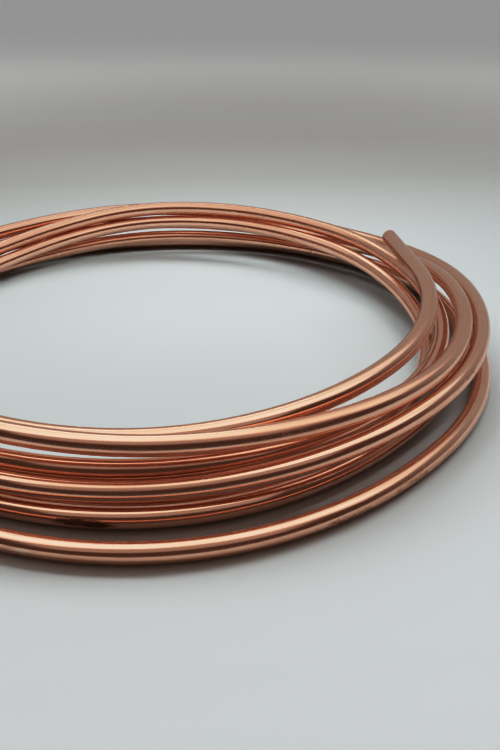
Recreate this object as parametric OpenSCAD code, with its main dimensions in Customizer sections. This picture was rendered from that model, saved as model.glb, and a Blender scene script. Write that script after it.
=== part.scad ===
/* [Tube] */
// Outside diameter of the tube
tube_od = 10; // [6:0.5:16]
// Wall thickness of the tube
tube_wall = 0.7; // [0.5:0.1:1.2]
// Straight length left at each cut end
end_length = 70; // [30:5:120]

/* [Coil] */
// Radius of an average turn, to the middle of the tube
coil_radius = 190; // [150:5:300]
// How widely the loose turns lie apart, 1 being as they rest on each other
spread = 1; // [1:0.05:1.5]

/* [Hidden] */
$fn = 48;

// The lie of the tube, in tube diameters, read eight times a turn from the end on the floor.
// Columns: front left, front, front right, right, back right, back, back left, left.
// How far the tube lies outside the average turn
out = [
    [1.2, 2.2, 0.9, 1, 2.6, 2.45, 2.1, 1.5],
    [-0.5, -0.15, -1.3, 0.1, 1.5, 1.4, 0.4, -0.3],
    [-1.6, -1.3, -2.5, -2.2, -1, 0.9, -0.8, -1.2],
    [-1.6, -1.45, -2, -1.5, -0.2, 1, 0, 0.2],
    [-0.8, -0.8, -0.5, -0.5, 1, 2.1, 1.3, 0.9],
    [-0.3, -0.4, 0.15, 0.8, 2.5, 2.4, 1.1, -0.9],
    [-2.1, -1.9, -2.4, -2.7]
];
// How far the tube lies above the floor
up = [
    [0, 0, 0, 0, 0, 0, 0, 0],
    [0, 0.15, 0.1, 0.8, 0.5, 0.7, 0, 0],
    [0, 0, 0.2, 0.9, 2.05, 2.1, 0.8, 0.7],
    [1.6, 1.8, 1.7, 2.1, 3, 3.2, 1.7, 2.1],
    [3.7, 3.35, 3.2, 3.2, 1.8, 1.75, 1.4, 1.1],
    [1.4, 1.35, 2.25, 2.7, 2, 2.8, 2.6, 3.5],
    [3.2, 3.1, 3.7, 4.3]
];
// Direction of the first reading, counted from the right
start_angle = 225;
// Share of the way to the next reading over which a direction is taken
near = 0.02;
// Hairline left open on both faces where two bends meet
hairline = 0.02;
// Length of the wall's core that runs through under a hairline
core_length = 1;

readings = [for (row = [0 : len(out) - 1]) for (i = [0 : len(out[row]) - 1]) [out[row][i], up[row][i]]];
last = len(readings) - 1;
// The tube leaves both ends level, so the reading past an end mirrors the one before it
function reading(i) = readings[i < 0 ? -i : i > last ? 2 * last - i : i];
// A smooth curve from b to c, with a and d beside them
function smooth(a, b, c, d, f) =
    b + (c - a) * f / 2 + (2 * a - 5 * b + 4 * c - d) * f * f / 2 + (3 * b - a - 3 * c + d) * f * f * f / 2;
// Middle of the tube, the share f of the way from reading i to the next
function middle(i, f) =
    let (
        at = smooth(reading(i - 1), reading(i), reading(i + 1), reading(i + 2), f) * spread,
        r = coil_radius + at[0] * tube_od,
        a = start_angle + 45 * (i + f)
    )
    [r * cos(a), r * sin(a), (max(at[1], 0) + 0.5) * tube_od];
function unit(v) = v / norm(v);
// Direction of the tube at reading i, level at both ends and wherever it lies on the floor
function way(i) =
    let (
        end = i == 0 || i == last,
        a = start_angle + 45 * i,
        d = end ? [-sin(a), cos(a), 0] : middle(i, near) - middle(i - 1, 1 - near)
    )
    unit([d[0], d[1], readings[i][1] == 0 ? 0 : d[2]]);
// Two round bends lead from reading i to the next and meet in one direction
function reach(i) =
    let (
        v = middle(i + 1, 0) - middle(i, 0),
        t = way(i) + way(i + 1),
        k = 2 * (1 - way(i) * way(i + 1))
    )
    (sqrt((v * t) * (v * t) + k * (v * v)) - v * t) / k;
function corner(i) = middle(i, 0) + way(i) * reach(i);
function next_corner(i) = middle(i + 1, 0) - way(i + 1) * reach(i);
function meet(i) = (corner(i) + next_corner(i)) / 2;
function meet_way(i) = unit(next_corner(i) - corner(i));

// The coil is centred on the origin by its own outline
outline = concat(
    [for (i = [0 : last - 1]) for (f = [0, 0.25, 0.5, 0.75]) middle(i, f)],
    [middle(0, 0) - way(0) * end_length, middle(last, 0) + way(last) * end_length]
);
xs = [for (p = outline) p[0]];
ys = [for (p = outline) p[1]];
shift = [-(min(xs) + max(xs)) / 2, -(min(ys) + max(ys)) / 2, 0];

// The wall of the tube, cut across, with a share of it taken off each face
module section(share) {
    difference() {
        circle(d = tube_od - 2 * tube_wall * share);
        circle(d = tube_od - 2 * tube_wall * (1 - share));
    }
}

// One round bend from p in the direction t to q, less half a hairline at both ends
module bend(p, t, q) {
    n = cross(t, q - p);
    w = unit(n);
    u = cross(t, w);
    r = (q - p) * (q - p) / (2 * norm(n));
    c = p - u * r;
    short = hairline / 2 / r * 180 / PI;
    multmatrix([
        [u[0], t[0], w[0], c[0]],
        [u[1], t[1], w[1], c[1]],
        [u[2], t[2], w[2], c[2]]
    ])
        rotate([0, 0, short])
            rotate_extrude(angle = atan2((q - c) * t, (q - c) * u) - 2 * short)
                translate([r, 0])
                    section(0);
}

// A straight length from p in the direction t
module straight(p, t, length, share) {
    translate(p)
        rotate([0, acos(t[2]), atan2(t[1], t[0])])
            linear_extrude(height = length)
                section(share);
}

// The core of the wall that joins two bends
module core(p, t) {
    straight(p - t * core_length / 2, t, core_length, 0.3);
}

module copper_tube() {
    color("peru")
        translate(shift) {
            for (i = [0 : last - 1]) {
                bend(middle(i, 0), way(i), meet(i));
                bend(meet(i), meet_way(i), middle(i + 1, 0));
                core(meet(i), meet_way(i));
            }
            for (i = [0 : last])
                core(middle(i, 0), way(i));
            straight(middle(0, 0) - way(0) * hairline / 2, -way(0), end_length, 0);
            straight(middle(last, 0) + way(last) * hairline / 2, way(last), end_length, 0);
        }
}

copper_tube();
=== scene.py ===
"""A loose coil of bare copper tube, lying on a pale studio floor."""

import math

import bmesh
import bpy
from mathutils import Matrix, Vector


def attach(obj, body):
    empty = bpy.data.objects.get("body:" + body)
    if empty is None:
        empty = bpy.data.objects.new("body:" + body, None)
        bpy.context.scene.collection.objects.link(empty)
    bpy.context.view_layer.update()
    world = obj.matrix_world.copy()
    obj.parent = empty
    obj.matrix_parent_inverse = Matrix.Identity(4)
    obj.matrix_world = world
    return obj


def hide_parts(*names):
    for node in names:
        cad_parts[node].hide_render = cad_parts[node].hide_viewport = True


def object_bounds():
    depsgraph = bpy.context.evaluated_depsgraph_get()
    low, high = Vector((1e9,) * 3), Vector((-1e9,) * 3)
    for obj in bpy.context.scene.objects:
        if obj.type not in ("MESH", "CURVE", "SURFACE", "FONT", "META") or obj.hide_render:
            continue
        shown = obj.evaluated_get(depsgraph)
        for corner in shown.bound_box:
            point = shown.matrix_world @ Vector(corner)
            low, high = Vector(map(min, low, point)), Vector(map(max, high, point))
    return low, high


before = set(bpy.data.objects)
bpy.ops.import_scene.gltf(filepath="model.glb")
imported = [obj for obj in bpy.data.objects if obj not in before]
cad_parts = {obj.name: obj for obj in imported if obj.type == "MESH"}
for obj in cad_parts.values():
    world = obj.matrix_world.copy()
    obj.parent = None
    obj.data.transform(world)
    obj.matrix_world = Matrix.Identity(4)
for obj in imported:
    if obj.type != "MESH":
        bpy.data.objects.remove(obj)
cad_low, cad_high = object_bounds()

# Sizes of the tube and the coil, in metres
TUBE_OD = 0.010
TUBE_WALL = 0.0007
END_LENGTH = 0.070
COIL_RADIUS = 0.190
DEBURR = 0.0002

# The lie of the tube, in tube diameters, read eight times a turn from the end on the floor.
# Columns: front left, front, front right, right, back right, back, back left, left.
START_ANGLE = 225
READING_ANGLE = 45
# How far the tube lies outside the average turn
OUT = [
    [1.2, 2.2, 0.9, 1, 2.6, 2.45, 2.1, 1.5],
    [-0.5, -0.15, -1.3, 0.1, 1.5, 1.4, 0.4, -0.3],
    [-1.6, -1.3, -2.5, -2.2, -1, 0.9, -0.8, -1.2],
    [-1.6, -1.45, -2, -1.5, -0.2, 1, 0, 0.2],
    [-0.8, -0.8, -0.5, -0.5, 1, 2.1, 1.3, 0.9],
    [-0.3, -0.4, 0.15, 0.8, 2.5, 2.4, 1.1, -0.9],
    [-2.1, -1.9, -2.4, -2.7],
]
# How far the tube lies above the floor
UP = [
    [0, 0, 0, 0, 0, 0, 0, 0],
    [0, 0.15, 0.1, 0.8, 0.5, 0.7, 0, 0],
    [0, 0, 0.2, 0.9, 2.05, 2.1, 0.8, 0.7],
    [1.6, 1.8, 1.7, 2.1, 3, 3.2, 1.7, 2.1],
    [3.7, 3.35, 3.2, 3.2, 1.8, 1.75, 1.4, 1.1],
    [1.4, 1.35, 2.25, 2.7, 2, 2.8, 2.6, 3.5],
    [3.2, 3.1, 3.7, 4.3],
]
READINGS = list(zip(sum(OUT, []), sum(UP, [])))
LAST = len(READINGS) - 1

# How finely the tube's skin is divided, and the angle in degrees from which an edge stays sharp
SIDES = 36
RINGS_PER_READING = 33
BORE_EVERY = 4
SHARP_ANGLE = 40

# Marks on the tube: stains, and bright rubbed spots where the depth is below 0.
# Columns: reading, side in degrees up from the outside, half the length in readings,
# half the width in degrees, depth.
MARKS = [
    (8.74, 2, 0.1, 30, 1.25),
    (8.81, -12, 0.06, 24, 1.3),
    (0.63, 0, 0.03, 24, -1.2),
    (0.87, 100, 0.03, 14, 0.8),
    (1.5, -12, 0.14, 40, 0.6),
    (1.78, 0, 0.2, 40, 0.5),
    (9.42, 40, 0.04, 16, 0.7),
    (12.14, 160, 0.04, 22, 0.8),
    (41.13, 75, 0.04, 14, 0.7),
    (33.4, 20, 0.08, 20, 0.5),
    (42.2, 30, 0.12, 24, 0.5),
    (47.6, 100, 0.1, 40, 0.5),
    (35.7, 60, 0.1, 30, 0.5),
    (26.3, 120, 0.08, 30, 0.6),
]

# Noise on the copper: its scale across and along the tube, its detail and its roughness
LINES = ((9, 9, 0.05), 5.0, 0.65)
RUBBING = ((0.5, 0.5, 0.1), 4.0, 0.6)
SPECKS = ((3.5, 3.5, 2.2), 3.0, 0.6)

# Colours of the copper, each with the values at which it sets in and is full
CLEAN_COLOUR = (0.93, 0.58, 0.43)
RUBBED = ((0.84, 0.48, 0.34), 0.4, 0.7)
LINED = ((0.62, 0.33, 0.22), 0.5, 0.95)
SPECKED = ((0.45, 0.22, 0.14), 0.68, 0.8)
STAINED = ((0.28, 0.13, 0.085), 0.95, 1.45)
WORN = ((0.95, 0.7, 0.55), 0.35, 0)

# How the specks make the marks ragged, and how rubbing and stains dull the copper
RAGGED_FROM, RAGGED_TO = 0.85, 0.25
RUB_FROM, RUB_TO = 0.35, 0.75
BRIGHT_ROUGHNESS, RUBBED_ROUGHNESS = 0.15, 0.32
DULL_FROM, DULL_TO = 0.9, 2.2

# Strength of the fine lines, and their depth in metres
LINE_STRENGTH = 0.09
LINE_DEPTH = 0.00006

# Painted shade on the floor, darker towards the back; each from its distance behind the middle of the
# coil
PAINTED_FLOOR_SHADES = [
    (-0.3, (0.71, 0.81, 0.84)),
    (0.1, (0.405, 0.46, 0.475)),
    (0.45, (0.3, 0.315, 0.31)),
    (0.65, (0.29, 0.295, 0.29)),
]
FLOOR_ROUGHNESS = 0.7
FLOOR_SHINE = 0.2

# The plain studio round the floor: how bright it is, and the painted glow that runs the floor into it
# far from the coil
STUDIO_GREY = (0.97, 1, 1, 1)
STUDIO_LIGHT = 0.42
PAINTED_FLOOR_GLOW = 0.28
GLOW_FROM = 0.6
GLOW_TO = 1.5
STUDIO_RADIUS = 9
BACKDROP_COLUMNS = 48
BACKDROP_ROWS = 24

# The dark card that lies before the coil in its reflections
CARD_FRONT = -3
CARD_BACK = -0.275
CARD_HALF_WIDTH = 3
CARD_HEIGHT = 0.0005
CARD_COLOUR = (0.085, 0.075, 0.07, 1)

# Soft panels: name, place, aim, size, watts, colour, spread in degrees
WHITE = (1, 1, 0.99)
WARM = (1, 0.58, 0.46)
FLOOR_LAMPS = [
    ("softbox", (0.2, 0.64, 1.0), (0, -0.05, 0), (2.4, 0.4), 20, WHITE, 180),
    ("fill", (0, -0.3, 1.0), (0, -0.3, 0), (2, 2), 2.1, WARM, 180),
    ("inner_fill", (0.05, -0.1, 0.5), (0.05, 0.2, 0), (0.4, 0.15), 0.26, WHITE, 55),
]
COPPER_LAMPS = [
    ("strip", (-0.2, 1.6, 1.9), (0, 0, 0), (1.6, 0.35), 2.6, WHITE, 180),
    ("front_glow", (-0.1, -0.285, 0.61), (-0.1, -0.738, 0.4), (1.1, 0.85), 1.22, WHITE, 180),
    ("front_wall", (0, -0.9, 1.3), (0, 0, 0.3), (2.4, 1.15), 2.75, WHITE, 180),
    ("ceiling_glow", (0, 0.02, 0.6), (0, 0.02, 0), (1.8, 0.76), 2.6, WHITE, 180),
]

# Shades of the room, from behind the camera at 0 to behind the coil at 1
ROOM_SHADES = [
    (0.35, (0.1, 0.06, 0.045)),
    (0.75, (0.36, 0.36, 0.36)),
]

# The tone curve: the light that shows as white, and points as shares of it with how they show
TONE_WHITE = (1.6, 1.6, 1.6)
TONES = [(0.06, 0.05), (0.19, 0.235), (0.375, 0.59), (0.625, 0.87)]
COMBINED_CURVE = 3

# The camera, as it stood for the photograph: metres from the middle, degrees, pixels and millimetres
CAMERA_BACK = 0.514
CAMERA_HEIGHT = 0.233
CAMERA_PITCH = 26
CAMERA_PAN = 6.4
CAMERA_NEAREST = 0.01
FOCAL_PIXELS = 890
PHOTO_LONG_SIDE = 750
SENSOR = 36


def reading(i):
    """Lie of the tube at reading i. Past an end it mirrors, so that the tube leaves level."""
    if i < 0:
        return READINGS[-i]
    if i > LAST:
        return READINGS[2 * LAST - i]
    return READINGS[i]


def smooth(a, b, c, d, f):
    """A smooth curve from b to c, at the share f of the way, with a and d beside them."""
    square = 2 * a - 5 * b + 4 * c - d
    cube = 3 * b - a - 3 * c + d
    return b + (c - a) * f / 2 + square * f**2 / 2 + cube * f**3 / 2


def turned(t):
    """Angle round the coil, t readings from the end on the floor."""
    return math.radians(START_ANGLE + READING_ANGLE * t)


def direction(t):
    """Level direction of the tube round the coil, t readings from the end on the floor."""
    return Vector((-math.sin(turned(t)), math.cos(turned(t)), 0))


def middle(t):
    """Middle of the tube, t readings from the end on the floor."""
    i = min(int(t), LAST - 1)
    around = [reading(i + k) for k in (-1, 0, 1, 2)]
    out, up = (smooth(*column, t - i) for column in zip(*around))
    radius = COIL_RADIUS + out * TUBE_OD
    height = (max(up, 0) + 0.5) * TUBE_OD
    return Vector((radius * math.cos(turned(t)), radius * math.sin(turned(t)), height))


def centre_line():
    """Points along the middle of the tube, from the cut end on the floor to the free end."""
    steps = LAST * RINGS_PER_READING
    points = [middle(LAST * k / steps) for k in range(steps + 1)]
    shares = [k / RINGS_PER_READING for k in range(1, RINGS_PER_READING + 1)]
    floor_end = [points[0] - direction(0) * END_LENGTH * s for s in reversed(shares)]
    free_end = [points[-1] + direction(LAST) * END_LENGTH * s for s in shares]
    return floor_end + points + free_end


def placed(points):
    """The points moved to where the frame has the tube, and how far they moved."""
    centre = (cad_low + cad_high) / 2
    xs = [p.x for p in points]
    ys = [p.y for p in points]
    shift = Vector((centre.x - (min(xs) + max(xs)) / 2, centre.y - (min(ys) + max(ys)) / 2, 0))
    return [p + shift for p in points], shift


def mark_depth(t, side):
    """Depth of the marks at reading t, on the side given in degrees."""
    depth = 0.0
    for place, middle_side, length, width, deepest in MARKS:
        along = (t - place) / length
        if abs(along) < 1:
            across = ((side - middle_side + 180) % 360 - 180) / width
            depth += deepest * max(0.0, 1 - along**2 - across**2)
    return depth


def skin_rings(last):
    """Rings of the tube's skin, each with its point, its step along the tube and its radius.

    They run along the outside, over the cut at the free end, back along the bore, and over the
    cut at the floor end. The edges of both cuts are lightly broken.
    """
    radius = TUBE_OD / 2
    bore = radius - TUBE_WALL
    return [
        (0, DEBURR, radius),
        *((k, 0.0, radius) for k in range(1, last)),
        (last, -DEBURR, radius),
        (last, 0.0, radius - DEBURR),
        (last, 0.0, bore + DEBURR),
        (last, -DEBURR, bore),
        *((k, 0.0, bore) for k in range(last - BORE_EVERY, 0, -BORE_EVERY)),
        (0, DEBURR, bore),
        (0, 0.0, bore + DEBURR),
        (0, 0.0, radius - DEBURR),
    ]


def tube_mesh(points):
    """The tube's skin, with its grain (across and along the tube) and its marks as attributes."""
    last = len(points) - 1
    tangents = [(points[min(k + 1, last)] - points[max(k - 1, 0)]).normalized() for k in range(last + 1)]
    along = [0.0]
    for before, after in zip(points, points[1:]):
        along.append(along[-1] + (after - before).length)

    rings = skin_rings(last)
    vertices = []
    grain = []
    marks = []
    for k, step, radius in rings:
        centre = points[k] + tangents[k] * step
        side = tangents[k].cross(Vector((0, 0, 1))).normalized()
        top = side.cross(tangents[k])
        for j in range(SIDES):
            a = 2 * math.pi * j / SIDES
            vertices.append(centre + (side * math.cos(a) + top * math.sin(a)) * radius)
            grain += [math.cos(a), math.sin(a), along[k] / TUBE_OD]
            marks.append(mark_depth(k / RINGS_PER_READING - 1, math.degrees(a)))
    faces = []
    for k in range(len(rings)):
        here = k * SIDES
        there = (k + 1) % len(rings) * SIDES
        for j in range(SIDES):
            n = (j + 1) % SIDES
            faces.append((here + j, here + n, there + n, there + j))

    mesh = bpy.data.meshes.new("copper_tube_skin")
    mesh.from_pydata(vertices, [], faces)
    mesh.attributes.new("grain", "FLOAT_VECTOR", "POINT").data.foreach_set("vector", grain)
    mesh.attributes.new("marks", "FLOAT", "POINT").data.foreach_set("value", marks)
    mesh.shade_smooth()
    mesh.set_sharp_from_angle(angle=math.radians(SHARP_ANGLE))
    mesh.update()
    return mesh


def new_material(name):
    """A new material, its node tree and its shader."""
    material = bpy.data.materials.new(name)
    material.use_nodes = True
    return material, material.node_tree, material.node_tree.nodes["Principled BSDF"]


def add_node(tree, kind, **inputs):
    """A new node. An input, named with _ for a space, is joined to a socket or set to a value."""
    node = tree.nodes.new(kind)
    for name, value in inputs.items():
        socket = node.inputs[name.replace("_", " ")]
        if isinstance(value, bpy.types.NodeSocket):
            tree.links.new(value, socket)
        else:
            socket.default_value = value
    return node


def spread(tree, source, low, high):
    """The source between low and high, spread over the range from 0 to 1."""
    node = add_node(tree, "ShaderNodeMapRange", Value=source, From_Min=low, From_Max=high)
    return node.outputs["Result"]


def attribute(tree, name):
    """The node that reads an attribute of the mesh."""
    node = tree.nodes.new("ShaderNodeAttribute")
    node.attribute_name = name
    return node


def noise(tree, grain, scale, detail, roughness):
    """Noise that follows the grain of the tube."""
    place = add_node(tree, "ShaderNodeMapping", Vector=grain, Scale=scale).outputs["Vector"]
    node = add_node(
        tree, "ShaderNodeTexNoise", Vector=place, Scale=1.0, Detail=detail, Roughness=roughness
    )
    return node.outputs["Fac"]


def sum_of(tree, first, second):
    node = tree.nodes.new("ShaderNodeMath")
    tree.links.new(first, node.inputs[0])
    tree.links.new(second, node.inputs[1])
    return node.outputs["Value"]


def tinted(tree, under, source, colour, sets_in, full):
    """The colour under it, giving way to this colour as the source goes from sets_in to full."""
    node = tree.nodes.new("ShaderNodeMix")
    node.data_type = "RGBA"
    tree.links.new(spread(tree, source, sets_in, full), node.inputs["Factor"])
    if isinstance(under, bpy.types.NodeSocket):
        tree.links.new(under, node.inputs["A"])
    else:
        node.inputs["A"].default_value = (*under, 1)
    node.inputs["B"].default_value = (*colour, 1)
    return node.outputs["Result"]


def copper():
    """Bright drawn copper with fine lines along the tube, dull rubbed stretches and small stains."""
    material, tree, shader = new_material("bright_copper")
    link = tree.links.new
    grain = attribute(tree, "grain").outputs["Vector"]
    lines = noise(tree, grain, *LINES)
    rubbing = noise(tree, grain, *RUBBING)
    specks = noise(tree, grain, *SPECKS)
    marks = attribute(tree, "marks").outputs["Fac"]
    ragged_marks = sum_of(tree, marks, spread(tree, specks, RAGGED_FROM, RAGGED_TO))

    colour = tinted(tree, CLEAN_COLOUR, rubbing, *RUBBED)
    colour = tinted(tree, colour, lines, *LINED)
    colour = tinted(tree, colour, specks, *SPECKED)
    colour = tinted(tree, colour, ragged_marks, *STAINED)
    colour = tinted(tree, colour, ragged_marks, *WORN)
    link(colour, shader.inputs["Base Color"])

    rubbed = add_node(
        tree,
        "ShaderNodeMapRange",
        Value=rubbing,
        From_Min=RUB_FROM,
        From_Max=RUB_TO,
        To_Min=BRIGHT_ROUGHNESS,
        To_Max=RUBBED_ROUGHNESS,
    )
    stained = spread(tree, ragged_marks, DULL_FROM, DULL_TO)
    link(sum_of(tree, rubbed.outputs["Result"], stained), shader.inputs["Roughness"])

    bump = add_node(
        tree, "ShaderNodeBump", Strength=LINE_STRENGTH, Distance=LINE_DEPTH, Height=lines
    )
    link(bump.outputs["Normal"], shader.inputs["Normal"])
    shader.inputs["Metallic"].default_value = 1.0
    return material


def floor_paint():
    """A plain pale matt floor with painted shade, darker towards the back, and a painted glow far from
    the coil.
    """
    material, tree, shader = new_material("pale_floor_painted_shade_and_glow")
    link = tree.links.new
    place = tree.nodes.new("ShaderNodeNewGeometry").outputs["Position"]

    # Painted shade: the floor's colour darkens from the front towards the back
    back = add_node(tree, "ShaderNodeSeparateXYZ", Vector=place).outputs["Y"]
    (near, near_colour), *between, (far, far_colour) = PAINTED_FLOOR_SHADES
    shade = add_node(tree, "ShaderNodeValToRGB", Fac=spread(tree, back, near, far))
    stops = shade.color_ramp.elements
    stops[0].color = (*near_colour, 1)
    stops[1].color = (*far_colour, 1)
    for y, colour in between:
        stops.new((y - near) / (far - near)).color = (*colour, 1)
    link(shade.outputs["Color"], shader.inputs["Base Color"])

    # Painted glow: far from the coil the floor gives off light of its own
    distance = add_node(tree, "ShaderNodeVectorMath", Vector=place)
    distance.operation = "LENGTH"
    painted_glow = add_node(
        tree,
        "ShaderNodeMapRange",
        Value=distance.outputs["Value"],
        From_Min=GLOW_FROM,
        From_Max=GLOW_TO,
        To_Max=PAINTED_FLOOR_GLOW,
    )
    painted_glow.interpolation_type = "SMOOTHSTEP"
    link(painted_glow.outputs["Result"], shader.inputs["Emission Strength"])
    shader.inputs["Emission Color"].default_value = STUDIO_GREY
    shader.inputs["Roughness"].default_value = FLOOR_ROUGHNESS
    shader.inputs["Specular IOR Level"].default_value = FLOOR_SHINE
    return material


def add_object(name, data):
    thing = bpy.data.objects.new(name, data)
    bpy.context.scene.collection.objects.link(thing)
    return thing


def add_sheet(name, material, half_width, front, back, height):
    """A level rectangle."""
    mesh = bpy.data.meshes.new(name)
    corners = [
        (-half_width, front, height),
        (half_width, front, height),
        (half_width, back, height),
        (-half_width, back, height),
    ]
    mesh.from_pydata(corners, [], [(0, 1, 2, 3)])
    mesh.materials.append(material)
    return add_object(name, mesh)


def add_tube():
    """The tube, where the frame has it. Returns how far it was moved there."""
    points, shift = placed(centre_line())
    tube = add_object("copper_tube_coil", tube_mesh(points))
    tube.data.materials.append(copper())
    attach(tube, "root")
    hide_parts("copper_tube")
    return shift


def add_floor():
    floor = add_sheet("floor", floor_paint(), STUDIO_RADIUS, -STUDIO_RADIUS, STUDIO_RADIUS, 0)


def add_front_card():
    """A dark card before the coil that shows only in the copper's reflections."""
    material, _, shader = new_material("dark_card")
    shader.inputs["Base Color"].default_value = CARD_COLOUR
    shader.inputs["Roughness"].default_value = 1
    card = add_sheet("front_card", material, CARD_HALF_WIDTH, CARD_FRONT, CARD_BACK, CARD_HEIGHT)
    card.visible_camera = False
    card.visible_diffuse = False
    card.visible_shadow = False


def add_backdrop():
    """A plain grey studio wall all round that only the camera sees."""
    mesh = bpy.data.meshes.new("backdrop")
    ball = bmesh.new()
    bmesh.ops.create_uvsphere(
        ball, u_segments=BACKDROP_COLUMNS, v_segments=BACKDROP_ROWS, radius=STUDIO_RADIUS
    )
    ball.to_mesh(mesh)
    ball.free()
    material, _, shader = new_material("studio_grey")
    shader.inputs["Base Color"].default_value = (0, 0, 0, 1)
    shader.inputs["Specular IOR Level"].default_value = 0
    shader.inputs["Emission Color"].default_value = STUDIO_GREY
    shader.inputs["Emission Strength"].default_value = STUDIO_LIGHT
    mesh.materials.append(material)
    backdrop = add_object("backdrop", mesh)
    backdrop.visible_diffuse = False
    backdrop.visible_glossy = False
    backdrop.visible_shadow = False


def add_lamp(name, place, aim, size, watts, colour, spread_angle, on_floor):
    """A soft panel that lights only the floor, or shows only in the copper's reflections."""
    light = bpy.data.lights.new(name, "AREA")
    light.shape = "RECTANGLE"
    light.size, light.size_y = size
    light.energy = watts
    light.color = colour
    light.spread = math.radians(spread_angle)
    lamp = add_object(name, light)
    lamp.location = place
    lamp.rotation_euler = (Vector(aim) - Vector(place)).to_track_quat("-Z", "Y").to_euler()
    lamp.visible_glossy = not on_floor
    lamp.visible_diffuse = on_floor
    lamp.visible_camera = False


def add_lamps():
    for lamp in FLOOR_LAMPS:
        add_lamp(*lamp, on_floor=True)
    for lamp in COPPER_LAMPS:
        add_lamp(*lamp, on_floor=False)


def add_room():
    """A studio that is dark behind the camera and grey behind the coil."""
    world = bpy.data.worlds.new("studio")
    bpy.context.scene.world = world
    world.use_nodes = True
    tree = world.node_tree
    place = tree.nodes.new("ShaderNodeTexCoord").outputs["Generated"]
    back = add_node(tree, "ShaderNodeSeparateXYZ", Vector=place).outputs["Y"]
    shade = add_node(tree, "ShaderNodeValToRGB", Fac=spread(tree, back, -1, 1))
    for stop, (position, colour) in zip(shade.color_ramp.elements, ROOM_SHADES):
        stop.position = position
        stop.color = (*colour, 1)
    tree.links.new(shade.outputs["Color"], tree.nodes["Background"].inputs["Color"])


def add_camera(shift):
    """The camera, moved with the tube."""
    lens = bpy.data.cameras.new("camera")
    lens.sensor_width = SENSOR
    lens.lens = FOCAL_PIXELS / PHOTO_LONG_SIDE * SENSOR
    lens.clip_start = CAMERA_NEAREST
    camera = add_object("camera", lens)
    camera.location = Vector((0, -CAMERA_BACK, CAMERA_HEIGHT)) + shift
    camera.rotation_euler = (math.radians(90 - CAMERA_PITCH), 0, math.radians(-CAMERA_PAN))
    bpy.context.scene.camera = camera


def set_tones():
    """The tone curve of a photograph: deeper shades and soft highlights."""
    view = bpy.context.scene.view_settings
    view.view_transform = "Standard"
    view.use_curve_mapping = True
    mapping = view.curve_mapping
    mapping.white_level = TONE_WHITE
    for light, shown in TONES:
        mapping.curves[COMBINED_CURVE].points.new(light, shown)
    mapping.update()


shift = add_tube()
add_floor()
add_lamps()
add_front_card()
add_backdrop()
add_room()
add_camera(shift)
set_tones()
